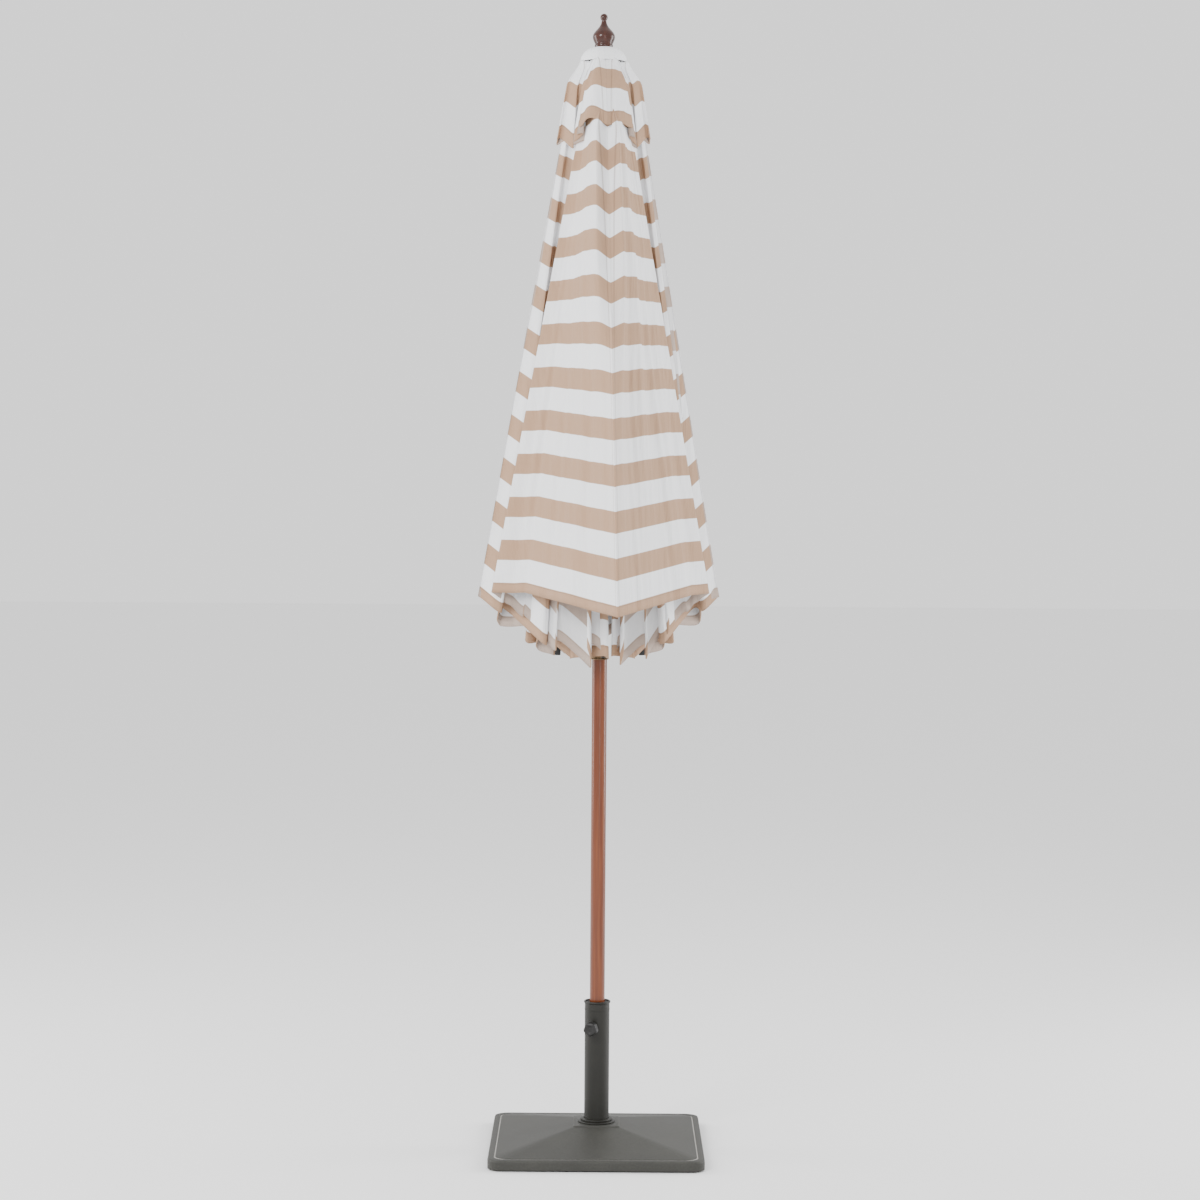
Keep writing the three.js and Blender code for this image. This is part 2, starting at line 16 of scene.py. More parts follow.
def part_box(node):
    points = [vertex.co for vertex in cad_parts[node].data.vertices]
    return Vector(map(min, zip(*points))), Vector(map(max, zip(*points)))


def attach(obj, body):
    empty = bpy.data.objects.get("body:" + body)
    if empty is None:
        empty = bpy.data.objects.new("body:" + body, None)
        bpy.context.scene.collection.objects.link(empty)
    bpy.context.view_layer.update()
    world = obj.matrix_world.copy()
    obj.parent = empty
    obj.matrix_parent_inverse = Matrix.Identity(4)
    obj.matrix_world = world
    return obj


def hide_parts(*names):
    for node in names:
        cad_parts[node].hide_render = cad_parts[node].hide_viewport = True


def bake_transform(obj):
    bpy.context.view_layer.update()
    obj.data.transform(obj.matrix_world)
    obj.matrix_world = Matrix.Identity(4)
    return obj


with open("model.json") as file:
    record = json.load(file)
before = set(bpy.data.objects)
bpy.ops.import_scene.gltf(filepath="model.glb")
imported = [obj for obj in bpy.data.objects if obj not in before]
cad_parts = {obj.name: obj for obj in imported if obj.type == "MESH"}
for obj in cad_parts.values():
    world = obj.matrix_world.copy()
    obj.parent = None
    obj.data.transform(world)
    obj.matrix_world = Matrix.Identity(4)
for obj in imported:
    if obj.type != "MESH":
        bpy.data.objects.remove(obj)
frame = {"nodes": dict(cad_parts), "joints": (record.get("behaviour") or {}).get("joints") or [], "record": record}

logging.basicConfig(level=logging.INFO, format="%(message)s")
LOG = logging.getLogger("umbrella")
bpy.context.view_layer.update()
JOINTS = {joint["name"]: joint for joint in frame["joints"]}
UP = Vector((0.0, 0.0, 1.0))
Colour = tuple[float, float, float]


def node_box(name: str) -> tuple[Vector, Vector]:
    """A CAD node's lowest and highest corners."""
    low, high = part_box(name)
    return Vector(low), Vector(high)


# ---- Shader tools ------------------------------------------------------------------------
class Wire:
    """An output socket that adds Math nodes when it is used in an expression."""

    def __init__(self, shader: "Shader", socket: bpy.types.NodeSocket) -> None:
        """Keeps the shader and the socket."""
        self.shader = shader
        self.socket = socket

    def _math(self, operation: str, *values: Any) -> "Wire":
        """One Math node on the values."""
        return self.shader.node("ShaderNodeMath", {"operation": operation}, dict(enumerate(values)))

    def __add__(self, other: Any) -> "Wire":
        """Sum."""
        return self._math("ADD", self, other)

    def __radd__(self, other: Any) -> "Wire":
        """Sum, number first."""
        return self._math("ADD", other, self)

    def __sub__(self, other: Any) -> "Wire":
        """Difference."""
        return self._math("SUBTRACT", self, other)

    def __rsub__(self, other: Any) -> "Wire":
        """Difference, number first."""
        return self._math("SUBTRACT", other, self)

    def __mul__(self, other: Any) -> "Wire":
        """Product."""
        return self._math("MULTIPLY", self, other)

    def __rmul__(self, other: Any) -> "Wire":
        """Product, number first."""
        return self._math("MULTIPLY", other, self)

    def __truediv__(self, other: Any) -> "Wire":
        """Quotient."""
        return self._math("DIVIDE", self, other)

    def sin(self) -> "Wire":
        """Sine, of radians."""
        return self._math("SINE", self)

    def fract(self) -> "Wire":
        """The part after the decimal point, always positive."""
        return self._math("FRACT", self)

    def clamp(self) -> "Wire":
        """Held between 0 and 1."""
        return self._math("MINIMUM", self._math("MAXIMUM", self, 0.0), 1.0)

    def larger(self, other: Any) -> "Wire":
        """The larger of the two."""
        return self._math("MAXIMUM", self, other)

    def distance(self, other: float) -> "Wire":
        """How far from a number."""
        return self._math("ABSOLUTE", self - other)


class Shader:
    """A material under construction, with a Principled surface."""

    def __init__(self, name: str, roughness: float, metallic: float = 0.0, **constants: Any) -> None:
        """Makes the material.

        Args:
            name: The material's name.
            roughness: The surface's roughness where nothing drives it.
            metallic: 0 or 1.
            constants: Other Principled inputs that are the same all over, by name with _ for a space.
        """
        self.material = bpy.data.materials.new(name)
        self.material.use_nodes = True
        self.tree = self.material.node_tree
        self.tree.nodes.clear()
        output = self.tree.nodes.new("ShaderNodeOutputMaterial")
        self.surface = self.tree.nodes.new("ShaderNodeBsdfPrincipled")
        self.tree.links.new(self.surface.outputs["BSDF"], output.inputs["Surface"])
        self.surface.inputs["Roughness"].default_value = roughness
        self.surface.inputs["Metallic"].default_value = metallic
        for key, value in constants.items():
            self.surface.inputs[key.replace("_", " ").title().replace("Ior", "IOR")].default_value = value

    def node(self, kind: str, settings: Optional[dict[str, Any]] = None,
             inputs: Optional[dict[Any, Any]] = None, output: Any = 0) -> Wire:
        """Adds one node.

        Args:
            kind: The node's type.
            settings: Its properties; "stops" are a ramp's positions and colours.
            inputs: Values or wires for its sockets, by name or number.
            output: Which output the result carries.

        Returns:
            The output, as a wire.
        """
        made = self.tree.nodes.new(kind)
        for key, value in (settings or {}).items():
            if key == "stops":
                elements = made.color_ramp.elements
                while len(elements) < len(value):
                    elements.new(1.0)
                for element, (place, colour) in zip(elements, value):
                    element.position = place
                    element.color = (*colour, 1.0)
            else:
                setattr(made, key, value)
        for key, value in (inputs or {}).items():
            if isinstance(value, Wire):
                self.tree.links.new(value.socket, made.inputs[key])
            else:
                made.inputs[key].default_value = value
        return Wire(self, made.outputs[output])

    def mix(self, share: Any, first: Any, second: Any) -> Wire:
        """Mixes two colours, each a wire or a constant."""
        colours = [c if isinstance(c, Wire) else (*c, 1.0) for c in (first, second)]
        return self.node("ShaderNodeMix", {"data_type": "RGBA"}, {0: share, 6: colours[0], 7: colours[1]}, 2)

    def place(self) -> Wire:
        """Object coordinates."""
        return self.node("ShaderNodeTexCoord", output="Object")

    def stretched(self, scale: Sequence[float], source: Optional[Wire] = None) -> Wire:
        """Coordinates scaled along each axis."""
        return self.node("ShaderNodeMapping", {}, {"Vector": source or self.place(), "Scale": tuple(scale)})

    def noise(self, coordinates: Wire, scale: float, detail: float = 3.0, rough: float = 0.5) -> Wire:
        """Noise of about 0 to 1."""
        return self.node("ShaderNodeTexNoise", {}, {"Vector": coordinates, "Scale": scale, "Detail": detail,
                                                    "Roughness": rough})

    def ramp(self, value: Wire, stops: Sequence[tuple[float, Colour]]) -> Wire:
        """A colour ramp over a value."""
        return self.node("ShaderNodeValToRGB", {"stops": stops}, {0: value})

    def drive(self, socket: str, wire: Wire) -> None:
        """Links a wire to one of the surface's inputs."""
        self.tree.links.new(wire.socket, self.surface.inputs[socket])

    def bump(self, height: Wire, strength: float, distance: float) -> None:
        """Raises the surface by a height, in metres times distance."""
        self.drive("Normal", self.node("ShaderNodeBump", {}, {"Height": height, "Strength": strength,
                                                              "Distance": distance}))


# ---- Finishes ----------------------------------------------------------------------------
class Face(Enum):
    """Which side of the cloth a finish is for."""

    OUTER = "outer"
    INNER = "inner"


@dataclass(frozen=True)
class StripedCloth:
    """Woven canopy cloth with stripes that run with the hem."""

    face: Face
    hem_at: float
    hem_band: float
    first_white: float
    pitch: float = 0.0938
    white_share: float = 0.516
    beige: Colour = (0.400, 0.252, 0.160)
    white: Colour = (0.86, 0.865, 0.88)

    def make(self, name: str) -> bpy.types.Material:
        """Builds the material. It reads the piece's cut pattern: u across and v down the gore."""
        shader = Shader(name, 0.86, sheen_weight=0.05, sheen_roughness=0.6, specular_ior_level=0.15)
        pattern = shader.node("ShaderNodeUVMap", {"uv_map": "Cut"})
        u = shader.node("ShaderNodeSeparateXYZ", {}, {0: pattern}, "X")
        v = shader.node("ShaderNodeSeparateXYZ", {}, {0: pattern}, "Y")
        edge = 0.0012
        turn = ((self.hem_at - self.hem_band - self.first_white - v) / self.pitch).fract() * self.pitch
        dark_width = self.pitch * (1.0 - self.white_share)
        stripe = (turn / edge).clamp() * ((dark_width - turn) / edge).clamp()
        hem = ((v - (self.hem_at - self.hem_band)) / edge).clamp()
        brown = stripe.larger(hem)
        threads = shader.noise(shader.stretched((620.0, 34.0, 1.0), pattern), 1.0, 2.0)
        picks = shader.noise(shader.stretched((30.0, 700.0, 1.0), pattern), 1.0, 2.0)
        slub = threads * 0.5 + picks * 0.5
        drift = shader.noise(shader.stretched((7.0, 2.2, 1.0), pattern), 1.0, 3.0)
        shade = (slub - 0.5) * 0.30 + (drift - 0.5) * 0.16
        # Painted shade: on the inner face both cloth colours are darkened, the white a little less than the beige.
        inner_painted_shade = 0.78 if self.face is Face.INNER else 1.0
        beige = tuple(c * inner_painted_shade for c in self.beige)
        white = tuple(c * (inner_painted_shade + 0.1 * (1.0 - inner_painted_shade)) for c in self.white)
        brown_cloth = shader.mix((shade + 0.5).clamp(), tuple(c * 0.88 for c in beige),
                                 tuple(min(1.0, c * 1.13) for c in beige))
        white_cloth = shader.mix((shade + 0.5).clamp(), tuple(c * 0.945 for c in white),
                                 tuple(min(1.0, c * 1.04) for c in white))
        colour = shader.mix(brown * (0.75 if self.face is Face.INNER else 1.0), white_cloth, brown_cloth)
        line = 0.0011
        seam_stitch = (1.0 - u.distance(0.0075) / line).clamp()
        hem_stitch = (1.0 - v.distance(self.hem_at - self.hem_band + 0.003) / line).clamp()
        dashes = ((v * 260.0).fract() * 6.0).clamp()
        across = ((u * 260.0).fract() * 6.0).clamp()
        stitches = (seam_stitch * dashes).larger(hem_stitch * across)
        colour = shader.mix(stitches * 0.5, colour, tuple(c * 0.55 for c in self.beige))
        shader.drive("Base Color", colour)
        shader.drive("Roughness", 0.80 + slub * 0.14)
        weave = (u * (2.0 * math.pi / 0.0021)).sin() * (v * (2.0 * math.pi / 0.0021)).sin()
        crumple = shader.noise(shader.stretched((26.0, 2.6, 1.0), pattern), 1.0, 4.0, 0.6)
        flat_fold = shader.noise(shader.stretched((4.0, 38.0, 1.0), pattern), 1.0, 3.0, 0.55)
        height = crumple * 5.5 + flat_fold * 1.4 + weave * 0.10 + slub * 0.35 - stitches * 0.5
        height = height + (1.0 - (u / 0.012).clamp()) * 0.55
        shader.bump(height, 0.75, 0.0020)
        return shader.material


@dataclass(frozen=True)
class VarnishedWood:
    """Stained hardwood under gloss varnish, with its grain along the pole."""

    dark: Colour
    mid: Colour
    light: Colour
    roughness: float = 0.24
    grain: tuple[float, float, float] = (95.0, 95.0, 3.2)

    def make(self, name: str) -> bpy.types.Material:
        """Builds the material."""
        shader = Shader(name, self.roughness, coat_roughness=0.1, specular_ior_level=0.3)
        figure = shader.noise(shader.stretched(self.grain), 1.0, 6.0, 0.62)
        streak = shader.noise(shader.stretched(tuple(c * 3.1 for c in self.grain)), 1.0, 3.0, 0.5)
        cloud = shader.noise(shader.stretched((9.0, 9.0, 1.4)), 1.0, 3.0)
        value = figure * 0.62 + streak * 0.22 + cloud * 0.16
        stops = [(0.30, self.dark), (0.50, self.mid), (0.70, self.light)]
        shader.drive("Base Color", shader.ramp(value, stops))
        shader.drive("Roughness", self.roughness - 0.05 + streak * 0.14)
        shader.drive("Coat Weight", 0.15 + cloud * 0.2)
        shader.bump(figure * 0.6 + streak * 0.4, 0.16, 0.0009)
        return shader.material


@dataclass(frozen=True)
class PowderCoat:
    """Dark textured powder coat on steel or a moulded case, rubbed lighter in places."""

    base: Colour
    roughness: float = 0.5
    speckle: float = 900.0
    texture: float = 0.35
    rub: float = 1.5

    def make(self, name: str) -> bpy.types.Material:
        """Builds the material."""
        shader = Shader(name, self.roughness, specular_ior_level=0.28)
        grit = shader.noise(shader.place(), self.speckle, 2.0)
        scuff = shader.noise(shader.stretched((9.0, 7.0, 9.0)), 1.0, 6.0, 0.65)
        grains = shader.noise(shader.place(), self.speckle * 0.4, 4.0, 0.7)
        wear = ((scuff * 0.5 + grains * 0.5 - 0.44) * 3.6).clamp()
        worn = tuple(min(1.0, c * self.rub) for c in self.base)
        low = tuple(c * 0.78 for c in self.base)
        colour = shader.mix(wear, shader.mix(grit, low, self.base), worn)
        shader.drive("Base Color", colour)
        shader.drive("Roughness", self.roughness - 0.08 + scuff * 0.2)
        shader.bump(grit * 0.5 + grains * 0.5, self.texture, 0.0006)
        return shader.material


@dataclass(frozen=True)
class Metal:
    """Bare or bronzed metal, lightly brushed and tarnished."""

    bright: Colour
    tarnish: Colour
    roughness: float = 0.3

    def make(self, name: str) -> bpy.types.Material:
        """Builds the material."""
        shader = Shader(name, self.roughness, 1.0)
        tarnish = shader.noise(shader.place(), 46.0, 5.0, 0.6)
        brushed = shader.noise(shader.stretched((60.0, 60.0, 900.0)), 1.0, 2.0)
        shader.drive("Base Color", shader.mix(((tarnish - 0.4) * 4.0).clamp(), self.bright, self.tarnish))
        shader.drive("Roughness", self.roughness + tarnish * 0.16 + brushed * 0.08)
        shader.bump(brushed, 0.12, 0.0003)
        return shader.material


@dataclass(frozen=True)
class Moulded:
    """Moulded plastic, rubber or cast concrete: fine grain, faint mottling."""

    base: Colour
    roughness: float
    grain: float = 1400.0
    depth: float = 0.2
    mottle: float = 0.2

    def make(self, name: str) -> bpy.types.Material:
        """Builds the material."""
        shader = Shader(name, self.roughness, specular_ior_level=0.3)
        grit = shader.noise(shader.place(), self.grain, 2.0)
        cloud = shader.noise(shader.place(), 30.0, 4.0)
        low = tuple(c * (1.0 - self.mottle) for c in self.base)
        high = tuple(min(1.0, c * (1.0 + self.mottle)) for c in self.base)
        shader.drive("Base Color", shader.mix(cloud * 0.7 + grit * 0.3, low, high))
        shader.drive("Roughness", self.roughness - 0.06 + cloud * 0.12)
        shader.bump(grit, self.depth, 0.0005)
        return shader.material


@dataclass
class Wardrobe:
    """Every finish of the umbrella, made once."""

    gore_length: float
    cap_length: float
    made: dict[str, bpy.types.Material] = field(default_factory=dict)

    def __post_init__(self) -> None:
        """Makes the materials."""
        hem, cap_hem, first = 0.0225, 0.030, 0.0484
        finishes: dict[str, Any] = {
            "canopy_outside": StripedCloth(Face.OUTER, self.gore_length, hem, first),
            "canopy_inside": StripedCloth(Face.INNER, self.gore_length, hem, first),
            "cap_outside": StripedCloth(Face.OUTER, self.cap_length, cap_hem, first),
            "cap_inside": StripedCloth(Face.INNER, self.cap_length, cap_hem, first),
            "pole_wood": VarnishedWood((0.070, 0.014, 0.005), (0.135, 0.033, 0.010),
                                       (0.22, 0.066, 0.020), 0.30),
            "dark_wood": VarnishedWood((0.014, 0.0035, 0.002), (0.038, 0.0085, 0.0042),
                                       (0.075, 0.020, 0.010)),
            "bronze": Metal((0.30, 0.20, 0.11), (0.08, 0.055, 0.035), 0.28),
            "wire": Metal((0.62, 0.62, 0.60), (0.40, 0.40, 0.38), 0.25),
            "base_case": PowderCoat((0.036, 0.0355, 0.031), 0.50, 700.0, 0.45, 1.6),
            "dark_steel": PowderCoat((0.014, 0.0135, 0.011), 0.42, 1300.0, 0.18, 1.5),
            "black_plastic": Moulded((0.014, 0.0135, 0.013), 0.40),
            "rubber_pad": Moulded((0.028, 0.028, 0.028), 0.85),
            "ballast": Moulded((0.34, 0.33, 0.31), 0.92, 220.0, 0.5, 0.35),
        }
        for name, finish in finishes.items():
            self.made[name] = finish.make(name)

    def __getitem__(self, name: str) -> bpy.types.Material:
        """A finish by name."""
        return self.made[name]


# ---- Mesh tools --------------------------------------------------------------------------
Profile = Sequence[tuple[float, float]]


def keep(name: str, mesh: bmesh.types.BMesh, materials: Sequence[bpy.types.Material],
         smooth_angle: Optional[float] = 35.0) -> bpy.types.Object:
    """Turns a bmesh into a piece of the scene.

    Args:
        name: The piece's name.
        mesh: The bmesh, freed here.
        materials: Its materials in order.
        smooth_angle: Edges sharper than this many degrees stay sharp; None is all smooth.

    Returns:
        The new object, at the origin.
    """
    data = bpy.data.meshes.new(name)
    if smooth_angle is not None:
        for edge in mesh.edges:
            angle = edge.calc_face_angle(0.0) if len(edge.link_faces) == 2 else 0.0
            edge.smooth = angle < math.radians(smooth_angle)
    for face in mesh.faces:
        face.smooth = True
    mesh.to_mesh(data)
    mesh.free()
    piece = bpy.data.objects.new(name, data)
    bpy.context.scene.collection.objects.link(piece)
    for material in materials:
        data.materials.append(material)
    LOG.info("%s: %d faces", name, len(data.polygons))
    return piece


def spun(profile: Profile, steps: int = 96) -> bmesh.types.BMesh:
    """Spins an open or closed outline of (radius, height) points about the pole.

    Args:
        profile: The outline; it closes on itself when its last point is its first.
        steps: Segments round the axis.

    Returns:
        A closed bmesh with its faces outward.
    """
    mesh = bmesh.new()
    closed = profile[0] == profile[-1]
    points = profile[:-1] if closed else profile
    verts = [mesh.verts.new((r, 0.0, z)) for r, z in points]
    pairs = list(zip(verts, verts[1:])) + ([(verts[-1], verts[0])] if closed else [])
    edges = [mesh.edges.new(pair) for pair in pairs]
    bmesh.ops.spin(mesh, geom=verts + edges, cent=(0, 0, 0), axis=(0, 0, 1), angle=2.0 * math.pi,
                   steps=steps, use_merge=True)
    bmesh.ops.remove_doubles(mesh, verts=mesh.verts, dist=1e-6)
    bmesh.ops.recalc_face_normals(mesh, faces=mesh.faces)
    return mesh


def arc(centre: tuple[float, float], radius: float, start: float, end: float, steps: int = 6) -> list:
    """Points of a circular arc in an outline, angles in degrees."""
    angles = [math.radians(start + (end - start) * i / steps) for i in range(steps + 1)]
    return [(centre[0] + radius * math.cos(a), centre[1] + radius * math.sin(a)) for a in angles]


def smooth(value: float, low: float, high: float) -> float:
    """0 below low, 1 above high, and an even S between."""
    t = min(1.0, max(0.0, (value - low) / (high - low)))
    return t * t * (3.0 - 2.0 * t)


def hump(value: float, middle: float, width: float) -> float:
    """A rounded bump of height 1 about a middle."""
    return math.exp(-((value - middle) / width) ** 2)


# ---- Base --------------------------------------------------------------------------------
@dataclass
class Base:
    """The square case, the tube with its rolled mouth, the trim ring and the clamp."""

    finishes: Wardrobe
    corner: float = 0.026
    lip: float = 0.0075
    groove: float = 0.0016
    plateau: float = 0.095
    knob_lobes: int = 5
    clamp_turn: float = math.radians(-17.0)

    def build(self) -> None:
        """Builds and dresses every piece of the base."""
        self.case()
        self.tube()
        self.trim()
        self.bush()
        self.knob()

    def case(self) -> None:
        """The case: a rounded square, a rim with a shallow step, and four slopes up to a small plateau."""
        low, high = node_box("base_shell")
        side, top = high.x - low.x, high.z
        rim = low.z + 0.0205
        mesh = bmesh.new()
        bmesh.ops.create_grid(mesh, x_segments=1, y_segments=1, size=side / 2.0)
        bmesh.ops.translate(mesh, verts=mesh.verts, vec=(0, 0, low.z))
        bmesh.ops.bevel(mesh, geom=list(mesh.verts), offset=self.corner, segments=10, profile=0.5,
                        affect="VERTICES", material=-1)
        mesh.faces.ensure_lookup_table()
        face = mesh.faces[0]
        steps = ((0.0, rim - low.z - 0.004), (0.0014, 0.0028), (0.0036, 0.0012), (self.lip, 0.0),
                 (0.0010, -self.groove), (0.0016, 0.0), (0.0012, self.groove * 1.3))
        for inset, rise in steps:
            face = self._ring(mesh, face, inset, rise)
        flat = top - 0.0022
        rest = face.calc_center_median().z
        face = self._shrunk(mesh, face, self.plateau + 0.004, flat - rest)
        face = self._ring(mesh, face, 0.0014, 0.0016)
        face = self._ring(mesh, face, 0.0020, 0.0006)
        bmesh.ops.recalc_face_normals(mesh, faces=mesh.faces)
        piece = keep("base_case", mesh, [self.finishes["base_case"]], 24.0)
        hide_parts("base_shell")
        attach(piece, "root")

    @staticmethod
    def _raised(mesh: bmesh.types.BMesh, face: bmesh.types.BMFace) -> tuple[bmesh.types.BMFace, float]:
        """Extrudes a face in place, and gives the new top face and how far it reaches from the axis."""
        made = bmesh.ops.extrude_face_region(mesh, geom=[face])["geom"]
        bmesh.ops.delete(mesh, geom=[face], context="FACES_ONLY")
        top = next(item for item in made if isinstance(item, bmesh.types.BMFace))
        return top, max(abs(v.co.x) for v in top.verts)

    def _ring(self, mesh: bmesh.types.BMesh, face: bmesh.types.BMFace, inset: float,
              rise: float) -> bmesh.types.BMFace:
        """Extrudes a flat face, drawing its outline in and lifting it.

        Args:
            mesh: The bmesh.
            face: The face on top.
            inset: How far the outline moves in.
            rise: How far it moves up.

        Returns:
            The new top face.
        """
        top, reach = self._raised(mesh, face)
        share = (reach - inset) / reach
        bmesh.ops.scale(mesh, verts=top.verts, vec=(share, share, 1.0))
        bmesh.ops.translate(mesh, verts=top.verts, vec=(0.0, 0.0, rise))
        return top

    def _shrunk(self, mesh: bmesh.types.BMesh, face: bmesh.types.BMFace, side: float,
                rise: float) -> bmesh.types.BMFace:
        """Extrudes a face up to a much smaller square, so that four slopes form."""
        top, reach = self._raised(mesh, face)
        corner = 0.004
        for vert in top.verts:
            x, y = vert.co.x / reach, vert.co.y / reach
            bulk = max(abs(x), abs(y))
            square = side / 2.0
            vert.co.x = math.copysign(min(square, abs(x) / bulk * square), x)
            vert.co.y = math.copysign(min(square, abs(y) / bulk * square), y)
            if min(abs(vert.co.x), abs(vert.co.y)) > square - corner:
                vert.co.x -= math.copysign(corner * 0.2, x)
                vert.co.y -= math.copysign(corner * 0.2, y)
        bmesh.ops.translate(mesh, verts=top.verts, vec=(0.0, 0.0, rise))
        return top

    def tube(self) -> None:
        """The upright tube with a rolled mouth, a faint band under it and the boss for the clamp."""
        low, high = node_box("base_tube")
        outer, inner = 0.0265, 0.0245
        top = high.z
        bead = 0.0026
        profile = [(inner, low.z), (outer, low.z), (outer, top - 0.020), (outer + 0.0004, top - 0.0195),
                   (outer + 0.0004, top - 0.017), (outer, top - 0.0165), (outer, top - 2.0 * bead - 0.001)]
        profile += arc((outer - 0.0006, top - bead), bead, -80.0, 90.0, 10)
        profile += arc((inner + 0.001, top - 0.001), 0.001, 90.0, 180.0, 4)
        profile.append((inner, low.z))
        piece = keep("base_tube_wall", spun(profile), [self.finishes["dark_steel"]])
        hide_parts("base_tube")
        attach(piece, "root")
        boss = spun([(0.0046, 0.0258), (0.0080, 0.0258), (0.0080, 0.0340), (0.0072, 0.0352),
                     (0.0046, 0.0352), (0.0046, 0.0258)], 32)
        self._to_clamp(boss)
        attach(keep("clamp_boss", boss, [self.finishes["dark_steel"]]), "root")

    def _to_clamp(self, mesh: bmesh.types.BMesh) -> None:
        """Turns a mesh about the pole's axis into one about the clamp's axis."""
        low, high = node_box("clamp_screw")
        height = (low.z + high.z) / 2.0
        quarter = math.pi / 2.0
        turn = Matrix.Rotation(self.clamp_turn - quarter, 4, "Z") @ Matrix.Rotation(quarter, 4, "Y")
        bmesh.ops.transform(mesh, verts=mesh.verts, matrix=Matrix.Translation((0, 0, height)) @ turn)

    def trim(self) -> None:
        """The stepped ring where the tube leaves the case."""
        low, high = node_box("trim_ring")
        outer = (high.x - low.x) / 2.0
        inner = 0.0270
        profile = [(inner, low.z), (outer - 0.001, low.z), (outer, low.z + 0.001)]
        profile += arc((outer - 0.0014, low.z + 0.0018), 0.0014, 0.0, 80.0, 5)
        profile += [(outer - 0.006, low.z + 0.0038)]
        profile += arc((outer - 0.0072, low.z + 0.0062), 0.0018, 0.0, 80.0, 5)
        profile += [(inner + 0.0022, high.z - 0.0004), (inner + 0.001, high.z), (inner, high.z - 0.0006),
                    (inner, low.z)]
        piece = keep("tube_trim_ring", spun(profile), [self.finishes["dark_steel"]])
        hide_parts("trim_ring")
        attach(piece, "root")

    def bush(self) -> None:
        """The flanged bush that centres the pole in the tube's mouth."""
        low, high = node_box("upper_bush")
        outer, inner = 0.0241, 0.0166
        profile = [(inner, low.z), (outer, low.z), (outer, high.z - 0.0008), (outer - 0.0008, high.z),
                   (inner + 0.002, high.z), (inner, high.z - 0.002), (inner, low.z)]
        piece = keep("mouth_bush", spun(profile), [self.finishes["black_plastic"]])
        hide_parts("upper_bush")
        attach(piece, "root")

    def knob(self) -> None:
        """The five-lobed star knob, with a dished face and soft edges."""
        count, start, length, radius = 100, 0.0376, 0.0158, 0.0150
        mesh = bmesh.new()
        bmesh.ops.create_circle(mesh, cap_ends=True, segments=count, radius=radius)
        for vert in mesh.verts:
            angle = math.atan2(vert.co.y, vert.co.x)
            share = 0.95 + 0.05 * math.cos(self.knob_lobes * angle)
            vert.co.x, vert.co.y = share * vert.co.x, share * vert.co.y
        bmesh.ops.translate(mesh, verts=mesh.verts, vec=(0, 0, start))
        mesh.faces.ensure_lookup_table()
        face = mesh.faces[0]
        profile = ((0.0, 0.0016), (0.0, length - 0.0052), (0.0007, 0.0018), (0.0015, 0.0012),
                   (0.0026, 0.0004), (0.0022, -0.0003), (0.0016, -0.0011), (0.0016, -0.0001))
        for inset, rise in profile:
            face = self._ring(mesh, face, inset, rise)
        bmesh.ops.recalc_face_normals(mesh, faces=mesh.faces)
        self._to_clamp(mesh)
        piece = keep("star_knob", mesh, [self.finishes["black_plastic"]], 50.0)
        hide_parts("clamp_knob")
        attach(piece, "clamp")


